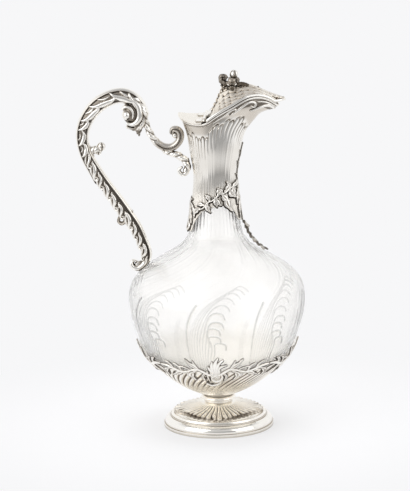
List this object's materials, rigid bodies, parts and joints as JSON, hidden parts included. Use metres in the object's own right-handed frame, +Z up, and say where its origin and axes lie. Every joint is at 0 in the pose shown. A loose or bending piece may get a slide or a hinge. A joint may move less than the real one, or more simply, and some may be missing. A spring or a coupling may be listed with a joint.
{
  "type": "cut crystal ewer with hinged lid",
  "caption": "Cut crystal ewer with silver mounts: footed base cup, neck mount with spout, scrolled handle and a lid that swings up on a hinge.",
  "frame": {"origin": "centre of the foot's flat underside", "axes": "+Z up along the body's axis, +X towards the spout, the handle is on -X"},
  "size_m": [0.1851, 0.145, 0.2969],
  "materials": {
    "crystal": "clear cut crystal, polished",
    "plaster": "dry white plaster, hidden between glass and silver",
    "polished_silver": "polished silver with soft wear",
    "chased_silver": "cast and chased silver, dark in its hollows",
    "hinge_silver": "drawn silver, lightly worn",
    "fixing_metal": "turned and filed, dull"
  },
  "bodies": {
    "ewer": {"glass_body": "crystal", "base_plaster_bed": "plaster", "neck_plaster_sleeve": "plaster", "base_cup": "polished_silver", "foot_knop": "polished_silver", "foot_skirt": "polished_silver", "foot_base_ring": "polished_silver", "neck_sheath": "polished_silver", "rim_moulding": "polished_silver", "rear_cover": "polished_silver", "cup_border_front": "chased_silver", "cup_border_right": "chased_silver", "cup_border_back": "chased_silver", "cup_border_left": "chased_silver", "neck_branch_front": "chased_silver", "neck_branch_back": "chased_silver", "lip_scroll_front": "chased_silver", "lip_scroll_back": "chased_silver", "spout_drape": "chased_silver", "handle_drape": "chased_silver", "shoulder_stem": "chased_silver", "handle_grip": "chased_silver", "handle_link": "chased_silver", "handle_bracket": "chased_silver", "handle_tassel": "chased_silver", "hinge_knuckle_front": "hinge_silver", "hinge_knuckle_back": "hinge_silver", "hinge_pin": "hinge_silver", "cup_stud": "fixing_metal", "foot_washer": "fixing_metal", "foot_nut": "fixing_metal"},
    "lid": {"lid_edge": "polished_silver", "lid_shell": "chased_silver", "lid_knuckle": "hinge_silver", "finial_cap": "chased_silver", "finial_bud": "chased_silver", "finial_leaf_front": "chased_silver", "finial_leaf_right": "chased_silver", "finial_leaf_back": "chased_silver", "finial_leaf_left": "chased_silver", "finial_nut": "fixing_metal"}
  },
  "joints": [
    {"name": "lid_hinge", "type": "hinge", "parent": "ewer", "child": "lid", "pos_m": [-0.007, 0, 0.25861], "axis": [0, -1, 0], "range_deg": [0, 80]}
  ]
}
